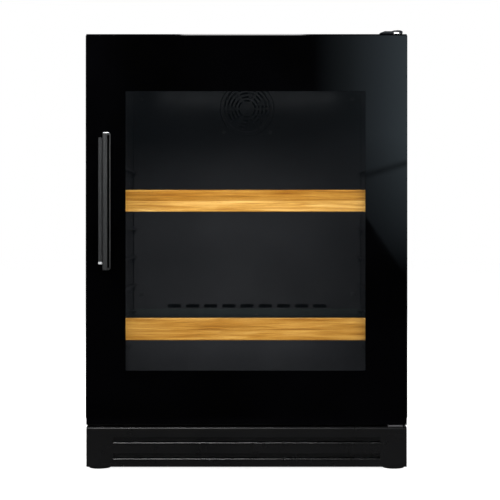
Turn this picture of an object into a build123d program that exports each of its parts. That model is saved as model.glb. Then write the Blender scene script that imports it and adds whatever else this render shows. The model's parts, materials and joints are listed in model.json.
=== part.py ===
from build123d import *
import math
import os

# Undercounter beverage refrigerator, built from separate pieces. Millimetres.
# X runs to the right as the user faces the door, Y runs from the door to the rear, Z is up.
# The origin is on the floor, at the middle of the overall width and depth.

# ---- Driving dimensions -------------------------------------------------------------------
WIDTH = 595.0
HALF_WIDTH = WIDTH / 2
OVERALL_DEPTH = 610.0  # handle front to rear spacers
HANDLE_REACH = 40.0
SPACER_DEPTH = 13.0

HANDLE_FRONT = -OVERALL_DEPTH / 2
REAR_LIMIT = OVERALL_DEPTH / 2
DOOR_FRONT = HANDLE_FRONT + HANDLE_REACH
DOOR_THICKNESS = 42.0
DOOR_REAR = DOOR_FRONT + DOOR_THICKNESS
GASKET_SPACE = 13.0
GASKET_GAP = 0.5
FRAME_FRONT = DOOR_REAR + GASKET_SPACE
SHEET = 1.0
FRAME_THICKNESS = 2.0
BODY_FRONT = FRAME_FRONT + FRAME_THICKNESS
BODY_REAR = REAR_LIMIT - SPACER_DEPTH

DOOR_BOTTOM = 82.0
DOOR_TOP = 805.5
BODY_TOP = 807.0
PLINTH_BOTTOM = 4.5
PLINTH_TOP = 78.5
DECK_BOTTOM = 84.0  # underside of the insulated body

# Cabin, the cold space that the liner lines
CABIN_HALF_WIDTH = 250.0
CABIN_FLOOR = 118.0
CABIN_CEILING = 775.0
CABIN_REAR = 235.0
CABIN_CORNER = 12.0
LINER = 2.5
STEP_FRONT = 50.0  # the cabin floor rises here over the machine room
STEP_TOP = 256.0
MACHINE_ROOM_FRONT = 85.0
MACHINE_ROOM_TOP = 225.0
COVER_FRONT = 183.0  # front face of the evaporator cover
COVER_THICKNESS = 3.0
COVER_REAR = COVER_FRONT + COVER_THICKNESS
COVER_SCREWS = [(x, z) for x in (-232.0, 232.0) for z in (300.0, 730.0)]

# Shelves
SHELF_TOPS = {"upper": 518.9, "lower": 274.4}
SHELF_GLASS = 5.0
TRIM_HEIGHT = 41.6
TRIM_DEPTH = 18.0
TRIM_FRONT = -198.0
SHELF_HALF_WIDTH = 247.0
SHELF_REAR = 176.0
LEDGE_PITCH = (SHELF_TOPS["upper"] - SHELF_TOPS["lower"]) / 4
LEDGE_COUNT = 7

# Insulated glass of the door
FRONT_GLASS = 4.0
PANE = 4.0
SPACER = 8.0
GLASS_BOTTOM = 95.0
GLASS_TOP = 803.0
DOOR_FRAME_HALF_WIDTH = HALF_WIDTH - 1.0
PANE_HALF_WIDTH = 252.0
PANE_BOTTOM = 130.0
PANE_TOP = 768.0
REAR_OPENING_HALF_WIDTH = 230.0
REAR_OPENING_BOTTOM = 172.0
REAR_OPENING_TOP = 711.0

# Door hinge
HINGE_X = 280.0
HINGE_Y = DOOR_FRONT + 15.0
PIN_RADIUS = 4.0
RUNNING_CLEARANCE = 0.06
BUSH_RADIUS = 7.0
HINGE_PLATE = 2.5

SHAFT_RADIUS = 2.0  # both fan motors
SCREW_HOLE = 2.1

# Levelling feet
FOOT_RADIUS = 20.0
STUD_RADIUS = 5.0
STUD_TOP = 58.0
FOOT_PLACES = {
    "front_left": (-274.0, -238.0),
    "front_right": (274.0, -238.0),
    "rear_left": (-262.0, 262.0),
    "rear_right": (262.0, 262.0),
}
BASE_BOTTOM = 16.0
BASE_PLATE = 2.0
BASE_TOP = BASE_BOTTOM + BASE_PLATE
BASE_HALF_WIDTH = 294.0

# Refrigeration
COMPRESSOR_X, COMPRESSOR_Y, COMPRESSOR_RADIUS = 170.0, 188.0, 70.0
CONDENSER_X, CONDENSER_Z, CONDENSER_SIDE = -120.0, 104.0, 160.0
EVAPORATOR_FAN_Z = 708.0
SUCTION_X, SUCTION_Y, PIPE_RADIUS = 20.0, 200.0, 4.0
DRAIN_X, DRAIN_Y, DRAIN_RADIUS = 60.0, 212.0, 7.5

os.makedirs("parts", exist_ok=True)


# ---- Helpers ------------------------------------------------------------------------------
def finish(builder, label):
    """Labels a finished piece and writes its STEP file."""
    builder.part.label = label
    export_step(builder.part, f"parts/{label}.step")


def facing(y):
    """The plane at depth y that faces the user: sketch x is X and sketch y is Z."""
    return Plane.XZ.offset(-y)


def side_on(x):
    """The plane at width x seen from the right: sketch x is Y and sketch y is Z."""
    return Plane.YZ.offset(x)


def block(x, y, z, mode=Mode.ADD):
    """An axis-aligned block in the open part, from (low, high) pairs along X, Y and Z."""
    with Locations(tuple(sum(span) / 2 for span in (x, y, z))):
        Box(x[1] - x[0], y[1] - y[0], z[1] - z[0], mode=mode)


def rod(start, end, radius, mode=Mode.ADD):
    """A round bar in the open part, between two points."""
    axis = Vector(*end) - Vector(*start)
    with BuildSketch(Plane(origin=start, z_dir=axis)) as section:
        Circle(radius)
    extrude(section.sketch, amount=axis.length, mode=mode)


def pipe(points, bend, radius, mode=Mode.ADD):
    """A round bar in the open part that follows straight runs joined by arcs of radius bend."""
    with BuildLine() as route:
        FilletPolyline(*points, radius=bend)
    with BuildSketch(Plane(origin=route.line @ 0, z_dir=route.line % 0)) as section:
        Circle(radius)
    sweep(section.sketch, path=route.line, mode=mode)


def sheet_ring(y, outer, inner, mode=Mode.ADD):
    """A flat ring in the open part: outer and inner are (half width, bottom, top, corner)."""
    with BuildSketch(facing(y[1])) as section:
        frame_face(*outer)
        frame_face(*inner, mode=Mode.SUBTRACT)
    extrude(section.sketch, amount=y[1] - y[0], mode=mode)


def frame_face(half_width, bottom, top, corner=0.0, mode=Mode.ADD):
    """A rectangle from -half_width to half_width and bottom to top, in the open sketch."""
    with Locations((0, (bottom + top) / 2)):
        if corner:
            RectangleRounded(2 * half_width, top - bottom, corner, mode=mode)
        else:
            Rectangle(2 * half_width, top - bottom, mode=mode)


def screw(x, y, z, direction, length, head_radius=4.0, head_height=2.4, shank_radius=2.0):
    """A pan-head screw in the open part. Its head rests at the point, its shank runs along direction."""
    along = Vector(*direction)
    point = Vector(x, y, z)
    rod(tuple(point - along * head_height), tuple(point), head_radius)
    rod(tuple(point), tuple(point + along * length), shank_radius)


def fan_rotor(centre, hub_radius, tip_radius, depth, blades, shaft):
    """A hub, pitched blades and a shaft in the open part. The rotor's axis is Y."""
    x, y, z = centre
    blade_length = tip_radius - hub_radius + 3
    for index in range(blades):
        turn = Rotation(0, index * 360 / blades, 0)
        reach = Pos(hub_radius - 3 + blade_length / 2, 0, 0) * Rotation(35, 0, 0)
        with Locations(Pos(x, y + depth / 2, z) * turn * reach):
            Box(blade_length, 2.0, depth * 1.5)
    rod((x, y, z), (x, y + depth, z), hub_radius)
    rod((x, y + depth, z), (x, y + depth + shaft, z), SHAFT_RADIUS)


def finned_coil(x, y, z, rows, tube_radius, fin_pitch):
    """A serpentine tube with fins on it, in the open part. x, y and z are (low, high) pairs."""
    middle = (y[0] + y[1]) / 2
    row_pitch = (z[1] - z[0]) / rows
    bend = row_pitch / 2 - 0.5
    overhang = row_pitch / 2 + 2
    points = []
    for row in range(rows):
        level = z[0] + (row + 0.5) * row_pitch
        ends = [(x[0] - overhang, middle, level), (x[1] + overhang, middle, level)]
        points += ends if row % 2 == 0 else ends[::-1]
    pipe(points, bend, tube_radius)
    fins = int((x[1] - x[0]) / fin_pitch)
    for fin in range(fins + 1):
        place = x[0] + fin * (x[1] - x[0]) / fins
        block((place - 0.4, place + 0.4), y, z)


def fan_housing(centre, half_side, bore, depth, motor_radius, shaft_start, motor_depth):
    """A square fan frame in the open part, with a motor held behind the rotor by four arms."""
    x, y, z = centre
    block((x - half_side, x + half_side), (y, y + depth), (z - half_side, z + half_side))
    rod((x, y - 1, z), (x, y + depth + 1, z), bore, mode=Mode.SUBTRACT)
    arms = (y + depth - 3, y + depth)
    block((x - bore - 1, x + bore + 1), arms, (z - 3, z + 3))
    block((x - 3, x + 3), arms, (z - bore - 1, z + bore + 1))
    rod((x, shaft_start + 0.8, z), (x, shaft_start + motor_depth, z), motor_radius)
    bearing = SHAFT_RADIUS + RUNNING_CLEARANCE
    rod((x, shaft_start, z), (x, shaft_start + 12.0, z), bearing, mode=Mode.SUBTRACT)


# ---- Cabinet shell ------------------------------------------------------------------------
PANEL_HALF_WIDTH = 295.0
INNER_HALF_WIDTH = PANEL_HALF_WIDTH - SHEET
REAR_SHEET_FRONT = BODY_REAR - SHEET

for side, name in ((-1, "side_panel_left"), (1, "side_panel_right")):
    outer, inner = side * PANEL_HALF_WIDTH, side * INNER_HALF_WIDTH
    fold = side * (INNER_HALF_WIDTH - 18)
    with BuildPart() as side_panel:
        skin = tuple(sorted((outer, inner)))
        block(skin, (BODY_FRONT, REAR_SHEET_FRONT), (BASE_BOTTOM, BODY_TOP - SHEET))
        rear_fold = tuple(sorted((inner, fold)))
        upper_run = (MACHINE_ROOM_TOP, BODY_TOP - SHEET)
        block(rear_fold, (REAR_SHEET_FRONT - SHEET, REAR_SHEET_FRONT), upper_run)
    finish(side_panel, name)

HINGE_SCREWS_TOP = [(x, y) for x in (263.0, 280.0) for y in (-196.0, -166.0)]
with BuildPart() as top_panel:
    block((-PANEL_HALF_WIDTH, PANEL_HALF_WIDTH), (FRAME_FRONT, BODY_REAR), (BODY_TOP - SHEET, BODY_TOP))
    for x, y in HINGE_SCREWS_TOP:
        rod((x, y, BODY_TOP - 2), (x, y, BODY_TOP + 1), SCREW_HOLE, mode=Mode.SUBTRACT)
finish(top_panel, "top_panel")

REAR_SPACERS = [(-220.0, 700.0), (220.0, 700.0)]
with BuildPart() as rear_panel:
    rear = (REAR_SHEET_FRONT, BODY_REAR)
    block((-PANEL_HALF_WIDTH, PANEL_HALF_WIDTH), rear, (MACHINE_ROOM_TOP, BODY_TOP - SHEET))
    for x in (-140.0, 0.0, 140.0):
        block((x - 12, x + 12), (BODY_REAR, BODY_REAR + 2.0), (280.0, 770.0))
    for x, z in REAR_SPACERS:
        rod((x, REAR_SHEET_FRONT - 1, z), (x, BODY_REAR + 1, z), 2.6, mode=Mode.SUBTRACT)
finish(rear_panel, "rear_panel")

with BuildPart() as rear_spacers:
    for x, z in REAR_SPACERS:
        rod((x, BODY_REAR, z), (x, REAR_LIMIT, z), 15.0)
        rod((x, REAR_SHEET_FRONT - 6, z), (x, BODY_REAR, z), 2.5)
finish(rear_spacers, "rear_spacers")

FRAME_RING = (PANEL_HALF_WIDTH, DECK_BOTTOM, BODY_TOP - SHEET)
FRAME_OPENING = (CABIN_HALF_WIDTH, CABIN_FLOOR, CABIN_CEILING, CABIN_CORNER)
with BuildPart() as front_frame:
    sheet_ring((FRAME_FRONT, BODY_FRONT), FRAME_RING, FRAME_OPENING)
finish(front_frame, "front_frame")

# The deck is one bent sheet: flat under the cabin, up in front of the machine room, back over it.
with BuildPart() as base_deck:
    width = (-INNER_HALF_WIDTH, INNER_HALF_WIDTH)
    block(width, (BODY_FRONT, MACHINE_ROOM_FRONT), (DECK_BOTTOM, DECK_BOTTOM + SHEET))
    upright = (MACHINE_ROOM_FRONT - SHEET, MACHINE_ROOM_FRONT)
    block(width, upright, (DECK_BOTTOM, MACHINE_ROOM_TOP))
    roof = (MACHINE_ROOM_FRONT - SHEET, REAR_SHEET_FRONT)
    block(width, roof, (MACHINE_ROOM_TOP - SHEET, MACHINE_ROOM_TOP))
    for x, y, radius in ((SUCTION_X, SUCTION_Y, 12.0), (DRAIN_X, DRAIN_Y, 10.0)):
        rod((x, y, MACHINE_ROOM_TOP - 5), (x, y, MACHINE_ROOM_TOP + 5), radius, mode=Mode.SUBTRACT)
finish(base_deck, "base_deck")

LINER_OUT = CABIN_HALF_WIDTH + LINER
with BuildPart() as inner_liner:
    with BuildSketch(facing(CABIN_REAR + LINER)) as cabin_outside:
        frame_face(LINER_OUT, CABIN_FLOOR - LINER, CABIN_CEILING + LINER, CABIN_CORNER + LINER)
    extrude(cabin_outside.sketch, amount=CABIN_REAR + LINER - BODY_FRONT)
    with BuildSketch(facing(STEP_FRONT)) as cabin_inside:
        frame_face(CABIN_HALF_WIDTH, CABIN_FLOOR, CABIN_CEILING, CABIN_CORNER)
    extrude(cabin_inside.sketch, amount=STEP_FRONT - BODY_FRONT, mode=Mode.SUBTRACT)
    # Over the machine room the cabin is shallower, so its floor steps up.
    with BuildSketch(facing(CABIN_REAR)) as above_step:
        frame_face(CABIN_HALF_WIDTH, CABIN_FLOOR, CABIN_CEILING, CABIN_CORNER)
        frame_face(CABIN_HALF_WIDTH, CABIN_FLOOR, STEP_TOP, mode=Mode.SUBTRACT)
    extrude(above_step.sketch, amount=CABIN_REAR - STEP_FRONT, mode=Mode.SUBTRACT)
    hollow = (-LINER_OUT - 10, LINER_OUT + 10)
    under_step = (STEP_FRONT + LINER, CABIN_REAR + 10)
    block(hollow, under_step, (CABIN_FLOOR - 10, STEP_TOP - LINER), mode=Mode.SUBTRACT)
    # Ledges moulded into both side walls, in pairs that take the glass edge between them.
    for index in range(LEDGE_COUNT):
        glass_bottom = SHELF_TOPS["lower"] - 11.0 + (index - 1) * LEDGE_PITCH
        ledge_rear = SHELF_REAR if glass_bottom > STEP_TOP else STEP_FRONT - 2
        for side in (-1, 1):
            across = tuple(sorted((side * (CABIN_HALF_WIDTH - 9), side * (CABIN_HALF_WIDTH + 1))))
            block(across, (TRIM_FRONT + 22, ledge_rear), (glass_bottom - 5.0, glass_bottom))
    for x, y, radius in ((SUCTION_X, SUCTION_Y, 12.0), (DRAIN_X, DRAIN_Y, DRAIN_RADIUS + 0.3)):
        rod((x, y, STEP_TOP - 10), (x, y, STEP_TOP + 5), radius, mode=Mode.SUBTRACT)
    # Posts on the rear wall take the screws of the evaporator cover.
    for x, z in COVER_SCREWS:
        rod((x, COVER_REAR, z), (x, CABIN_REAR + 1, z), 6.0)
        rod((x, COVER_REAR - 1, z), (x, COVER_REAR + 22, z), SCREW_HOLE, mode=Mode.SUBTRACT)
finish(inner_liner, "inner_liner")

with BuildPart() as foam_insulation:
    block(width, (BODY_FRONT, REAR_SHEET_FRONT - SHEET), (DECK_BOTTOM + SHEET, BODY_TOP - SHEET))
    machine_room = (MACHINE_ROOM_FRONT - SHEET, BODY_REAR)
    block(width, machine_room, (DECK_BOTTOM, MACHINE_ROOM_TOP), mode=Mode.SUBTRACT)
    with BuildSketch(facing(CABIN_REAR + LINER)) as cabin_outside:
        frame_face(LINER_OUT, CABIN_FLOOR - LINER, CABIN_CEILING + LINER, CABIN_CORNER + LINER)
    extrude(cabin_outside.sketch, amount=CABIN_REAR + LINER - BODY_FRONT, mode=Mode.SUBTRACT)
    step_width = (-LINER_OUT, LINER_OUT)
    under_step = (STEP_FRONT + LINER, CABIN_REAR + LINER)
    block(step_width, under_step, (MACHINE_ROOM_TOP, STEP_TOP - LINER))
    before_step = (STEP_FRONT + LINER, MACHINE_ROOM_FRONT - SHEET)
    block(step_width, before_step, (CABIN_FLOOR - 10, STEP_TOP - LINER))
    for x, y, radius in ((SUCTION_X, SUCTION_Y, 12.0), (DRAIN_X, DRAIN_Y, DRAIN_RADIUS + 0.3)):
        rod((x, y, MACHINE_ROOM_TOP - 5), (x, y, STEP_TOP + 5), radius, mode=Mode.SUBTRACT)
    for x, z in REAR_SPACERS:
        rod((x, REAR_SHEET_FRONT - 12, z), (x, BODY_REAR, z), 3.0, mode=Mode.SUBTRACT)
    for x, y in HINGE_SCREWS_TOP:
        rod((x, y, BODY_TOP - 12), (x, y, BODY_TOP), SCREW_HOLE, mode=Mode.SUBTRACT)
finish(foam_insulation, "foam_insulation")


# ---- Base, kick plate and feet ------------------------------------------------------------
BASE_FRONT = -255.0
NUT_HEIGHT = 10.0
GROMMET_TOP = 32.0
MOUNT_STUD_RADIUS = 3.0
CROSS_REAR = BODY_FRONT + 1.5
KICK_FRONT = DOOR_FRONT + 1.0
KICK_SHEET = 1.5
KICK_RETURN_REAR = -214.0
KICK_SCREWS = [-180.0, 0.0, 180.0]
KICK_SCREW_Y = BASE_FRONT + 12
COMPRESSOR_MOUNTS = [
    (COMPRESSOR_X + dx, COMPRESSOR_Y + dy) for dx in (-62.0, 62.0) for dy in (-62.0, 62.0)
]
BRACKET_SCREWS = [(x, z) for x in (268.0, 282.0) for z in (56.0, 68.0)]
REAR_COVER_SCREWS = [(x, z) for x in (-280.0, 0.0, 280.0) for z in (25.0, 214.0)]
INLET_X, INLET_Z = -255.0, 60.0
GRILLE_ROWS = 9
GRILLE_COLUMNS = (-145.0, 145.0)

with BuildPart() as base_chassis:
    floor_width = (-BASE_HALF_WIDTH, BASE_HALF_WIDTH)
    block(floor_width, (BASE_FRONT, REAR_SHEET_FRONT), (BASE_BOTTOM, BASE_TOP))
    block(floor_width, (REAR_SHEET_FRONT - BASE_PLATE, REAR_SHEET_FRONT), (BASE_TOP, 34.0))
    # Weld nuts for the feet.
    for x, y in FOOT_PLACES.values():
        with BuildSketch(Plane.XY.offset(BASE_TOP)) as hexagon:
            with Locations((x, y)):
                RegularPolygon(9.0, 6)
        extrude(hexagon.sketch, amount=NUT_HEIGHT)
        rod((x, y, 0), (x, y, 40), STUD_RADIUS + RUNNING_CLEARANCE, mode=Mode.SUBTRACT)
    for x in KICK_SCREWS:
        rod((x, KICK_SCREW_Y, 0), (x, KICK_SCREW_Y, 40), SCREW_HOLE, mode=Mode.SUBTRACT)
    for x, y in COMPRESSOR_MOUNTS:
        rod((x, y, BASE_TOP), (x, y, GROMMET_TOP + 9), MOUNT_STUD_RADIUS)
    for x, z in REAR_COVER_SCREWS[::2]:
        rod((x, REAR_SHEET_FRONT - 8, z), (x, REAR_SHEET_FRONT + 2, z), SCREW_HOLE, mode=Mode.SUBTRACT)
finish(base_chassis, "base_chassis")

with BuildPart() as front_crossmember:
    height = (BASE_TOP, DECK_BOTTOM)
    block(width, (BODY_FRONT, CROSS_REAR), height)
    for fold in ((DECK_BOTTOM - 1.5, DECK_BOTTOM), (BASE_TOP, BASE_TOP + 1.5)):
        block(width, (CROSS_REAR, CROSS_REAR + 20), fold)
    for x in (-170.0, -57.0, 57.0, 170.0):
        block((x - 38, x + 38), (BODY_FRONT - 1, CROSS_REAR + 1), (30.0, 72.0), mode=Mode.SUBTRACT)
    for x, z in BRACKET_SCREWS:
        rod((x, BODY_FRONT - 2, z), (x, CROSS_REAR + 2, z), SCREW_HOLE, mode=Mode.SUBTRACT)
finish(front_crossmember, "front_crossmember")

# Kick plate: a pan that opens to the rear, with two long louvres pressed into its face.
LOUVRE_HALF_WIDTH = 247.0
LOUVRES = [(48.2, 60.0), (18.4, 30.0)]  # height of each lip and of the slat's top edge
LOUVRE_DEPTH = 4.0
LIP_DEPTH = 5.0
LIP_RADIUS = 1.5
KICK_BEND = 4.5
KICK_HEM = 3.0
with BuildPart() as kick_plate:
    face = (KICK_FRONT, KICK_FRONT + KICK_SHEET)
    block((-DOOR_FRAME_HALF_WIDTH, DOOR_FRAME_HALF_WIDTH), face, (PLINTH_BOTTOM, PLINTH_TOP))
    behind = (KICK_FRONT + KICK_SHEET, KICK_RETURN_REAR)
    block((-DOOR_FRAME_HALF_WIDTH, DOOR_FRAME_HALF_WIDTH), behind, (PLINTH_TOP - KICK_SHEET, PLINTH_TOP))
    # The corner is filled behind the bend, as a hem is.
    hem = (KICK_FRONT + KICK_SHEET, KICK_FRONT + KICK_SHEET + KICK_HEM)
    hem_height = (PLINTH_TOP - KICK_SHEET - KICK_HEM, PLINTH_TOP - KICK_SHEET)
    block((-DOOR_FRAME_HALF_WIDTH, DOOR_FRAME_HALF_WIDTH), hem, hem_height)
    for side in (-1, 1):
        edge = sorted((side * DOOR_FRAME_HALF_WIDTH, side * (DOOR_FRAME_HALF_WIDTH - KICK_SHEET)))
        block(tuple(edge), behind, (PLINTH_BOTTOM, PLINTH_TOP - KICK_SHEET))
    # The top is folded with a wide bend, and the other edges are only eased.
    fillet(kick_plate.faces().sort_by(Axis.Y)[0].edges().sort_by(Axis.Z)[-1], KICK_BEND)
    fillet(kick_plate.faces().sort_by(Axis.Y)[0].edges().sort_by(Axis.Z)[0], 1.0)
    # A tongue at mid width rests on the base and takes the three screws.
    tongue = (KICK_FRONT + KICK_SHEET, BASE_FRONT + 22)
    block((-200.0, 200.0), tongue, (BASE_TOP, BASE_TOP + KICK_SHEET))
    for x in KICK_SCREWS:
        rod((x, KICK_SCREW_Y, 0), (x, KICK_SCREW_Y, 40), SCREW_HOLE, mode=Mode.SUBTRACT)
    window = (-LOUVRE_HALF_WIDTH, LOUVRE_HALF_WIDTH)
    for low, high in LOUVRES:
        block(window, (KICK_FRONT - 1, KICK_FRONT + KICK_SHEET + 1), (low, high), mode=Mode.SUBTRACT)
        # The slat slopes in from the face, and air comes out between it and the rolled lip below.
        with BuildSketch(side_on(-LOUVRE_HALF_WIDTH)) as slat:
            with BuildLine():
                Polyline(
                    (KICK_FRONT, high),
                    (KICK_FRONT + LOUVRE_DEPTH, low + 3.2),
                    (KICK_FRONT + LOUVRE_DEPTH + 1.2, low + 3.2),
                    (KICK_FRONT + KICK_SHEET, high + 1.0),
                    close=True,
                )
            make_face()
        extrude(slat.sketch, amount=2 * LOUVRE_HALF_WIDTH)
        block(window, (KICK_FRONT, KICK_FRONT + LIP_DEPTH), (low - 1.2, low + 0.3))
        ends = [(x, KICK_FRONT + 0.6, low) for x in window]
        rod(*ends, LIP_RADIUS)
finish(kick_plate, "kick_plate")

for place, (x, y) in FOOT_PLACES.items():
    with BuildPart() as foot:
        rod((x, y, 0), (x, y, 4.0), FOOT_RADIUS)
        with BuildSketch(Plane.XY.offset(4.0)) as shoulder:
            with Locations((x, y)):
                Circle(FOOT_RADIUS - 1.5)
        extrude(shoulder.sketch, amount=5.0, taper=45)
        with BuildSketch(Plane.XY.offset(9.0)) as hexagon:
            with Locations((x, y)):
                RegularPolygon(8.0, 6)
        extrude(hexagon.sketch, amount=4.0)
        rod((x, y, 13.0), (x, y, STUD_TOP), STUD_RADIUS)
    finish(foot, f"foot_{place}")

# ---- Hinge hardware on the cabinet --------------------------------------------------------
HINGE_INSIDE, HINGE_OUTSIDE = 247.0, 289.0
PLATE_TOP = BODY_TOP + HINGE_PLATE
HEAD_RECESS = 1.3
HINGE_FRONT = HINGE_Y - 10.0
COVER_TOP = PLATE_TOP + 1.6
COVER_RAMP = 9.0
BOSS_TOP = PLATE_TOP + 4.2
BOSS_RADIUS = 9.0
PIN_HEAD = 2.4
PIN_HEAD_RADIUS = 6.5

with BuildPart() as top_hinge_bracket:
    across = (HINGE_INSIDE + COVER_RAMP + 1.2, HINGE_OUTSIDE - 2)
    block(across, (HINGE_FRONT, -154.0), (BODY_TOP, PLATE_TOP))
    for x, y in HINGE_SCREWS_TOP:
        rod((x, y, BODY_TOP - 1), (x, y, PLATE_TOP + 1), SCREW_HOLE, mode=Mode.SUBTRACT)
        rod((x, y, PLATE_TOP - HEAD_RECESS), (x, y, PLATE_TOP + 1), 4.2, mode=Mode.SUBTRACT)
    rod((HINGE_X, HINGE_Y, BODY_TOP - 1), (HINGE_X, HINGE_Y, PLATE_TOP + 1), PIN_RADIUS, mode=Mode.SUBTRACT)
finish(top_hinge_bracket, "top_hinge_bracket")

# The cover is a shallow cap over the bracket, with a round boss over the pin's head. A slot in its
# front wall shows the bracket's edge.
with BuildPart() as top_hinge_cover:
    with BuildSketch(facing(-152.0)) as profile:
        with BuildLine():
            Polyline(
                (HINGE_INSIDE, BODY_TOP),
                (HINGE_OUTSIDE, BODY_TOP),
                (HINGE_OUTSIDE, COVER_TOP),
                (HINGE_INSIDE + COVER_RAMP, COVER_TOP),
                (HINGE_INSIDE, BODY_TOP + 0.8),
                close=True,
            )
        make_face()
    extrude(profile.sketch, amount=-152.0 - (HINGE_FRONT - 2))
    rod((HINGE_X, HINGE_Y + 1, COVER_TOP - 1), (HINGE_X, HINGE_Y + 1, BOSS_TOP), BOSS_RADIUS)
    fillet(top_hinge_cover.edges().filter_by(GeomType.CIRCLE).sort_by(Axis.Z)[-1], 1.0)
    inside = (HINGE_INSIDE + COVER_RAMP + 1.0, HINGE_OUTSIDE - 1.8)
    block(inside, (HINGE_FRONT - 0.2, -153.8), (BODY_TOP - 1, PLATE_TOP + 0.1), mode=Mode.SUBTRACT)
    cavity_top = PLATE_TOP + PIN_HEAD + 0.4
    cavity = ((HINGE_X, HINGE_Y, PLATE_TOP - 1), (HINGE_X, HINGE_Y, cavity_top))
    rod(*cavity, PIN_HEAD_RADIUS + 0.5, mode=Mode.SUBTRACT)
    slot = (HINGE_X - 7.3, HINGE_X + 2.8)
    block(slot, (HINGE_FRONT - 3, HINGE_FRONT), (BODY_TOP - 1, PLATE_TOP + 0.1), mode=Mode.SUBTRACT)
finish(top_hinge_cover, "top_hinge_cover")

ARM = (79.0, 81.5)
with BuildPart() as bottom_hinge_bracket:
    block((262.0, HINGE_OUTSIDE), (HINGE_FRONT, BODY_FRONT), ARM)
    block((262.0, HINGE_OUTSIDE), (BODY_FRONT - HINGE_PLATE, BODY_FRONT), (46.0, ARM[0]))
    for x, z in BRACKET_SCREWS:
        rod((x, BODY_FRONT - 5, z), (x, BODY_FRONT + 1, z), SCREW_HOLE, mode=Mode.SUBTRACT)
    rod((HINGE_X, HINGE_Y, ARM[0] - 1), (HINGE_X, HINGE_Y, ARM[1] + 1), PIN_RADIUS, mode=Mode.SUBTRACT)
finish(bottom_hinge_bracket, "bottom_hinge_bracket")

with BuildPart() as hinge_pins:
    rod((HINGE_X, HINGE_Y, ARM[0]), (HINGE_X, HINGE_Y, DOOR_BOTTOM + 16), PIN_RADIUS)
    rod((HINGE_X, HINGE_Y, DOOR_TOP - 16), (HINGE_X, HINGE_Y, PLATE_TOP), PIN_RADIUS)
    rod((HINGE_X, HINGE_Y, PLATE_TOP), (HINGE_X, HINGE_Y, PLATE_TOP + PIN_HEAD), PIN_HEAD_RADIUS)
finish(hinge_pins, "hinge_pins")


# ---- Door ---------------------------------------------------------------------------------
GLASS_REAR = DOOR_FRONT + FRONT_GLASS
MIDDLE_PANE = (GLASS_REAR + SPACER, GLASS_REAR + SPACER + PANE)
INNER_PANE = (MIDDLE_PANE[1] + SPACER, MIDDLE_PANE[1] + SPACER + PANE)
WALL = 4.0  # of the door profile
REAR_OPENING = (REAR_OPENING_HALF_WIDTH, REAR_OPENING_BOTTOM, REAR_OPENING_TOP)
CHAMBER_IN, CHAMBER_OUT = 257.0, 292.5
CHAMBER_FRONT, CHAMBER_REAR = GLASS_REAR + WALL, DOOR_REAR - WALL

# Handle: a base rail on the glass, a web that stands off it and a grip plate in front.
HANDLE_BASE = (-270.2, -263.2)
HANDLE_BASE_BOTTOM, HANDLE_BASE_TOP = 380.5, 611.5
GRIP = (-262.0, -247.5)
GRIP_BOTTOM, GRIP_TOP = 369.5, 621.0
HANDLE_SCREWS = [402.0, 496.0, 590.0]
HANDLE_SCREW_X = -267.0
HANDLE_SCREW_DEPTH = 8.0
WEB = (GRIP[0], GRIP[0] + 4.0)
FLANGE_FRONT = DOOR_FRONT - 3.0
GRIP_GROOVE = (-253.4, -249.4)
GROOVE_END = 4.5
BASE_END_FACET = 4.0

# Four hollow profiles welded at the corners. The chambers of the stiles are open at both ends.
with BuildPart() as door_frame:
    sheet_ring((GLASS_REAR, DOOR_REAR), (DOOR_FRAME_HALF_WIDTH, GLASS_BOTTOM, GLASS_TOP), REAR_OPENING)
    pane_space = (PANE_HALF_WIDTH, PANE_BOTTOM, PANE_TOP)
    with BuildSketch(facing(INNER_PANE[1])) as pocket:
        frame_face(*pane_space)
    extrude(pocket.sketch, amount=INNER_PANE[1] - GLASS_REAR, mode=Mode.SUBTRACT)
    for side in (-1, 1):
        chamber = tuple(sorted((side * CHAMBER_IN, side * CHAMBER_OUT)))
        block(chamber, (CHAMBER_FRONT, CHAMBER_REAR), (GLASS_BOTTOM - 1, GLASS_TOP + 1), mode=Mode.SUBTRACT)
    rail_span = (-CHAMBER_IN, CHAMBER_IN)
    for band in ((GLASS_BOTTOM + WALL, PANE_BOTTOM - WALL), (PANE_TOP + WALL, GLASS_TOP - WALL)):
        block(rail_span, (CHAMBER_FRONT, CHAMBER_REAR), band, mode=Mode.SUBTRACT)
    for z in HANDLE_SCREWS:
        start = (HANDLE_SCREW_X, GLASS_REAR - 1, z)
        rod(start, (HANDLE_SCREW_X, CHAMBER_FRONT + 1, z), SCREW_HOLE, mode=Mode.SUBTRACT)
finish(door_frame, "door_frame")

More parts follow.
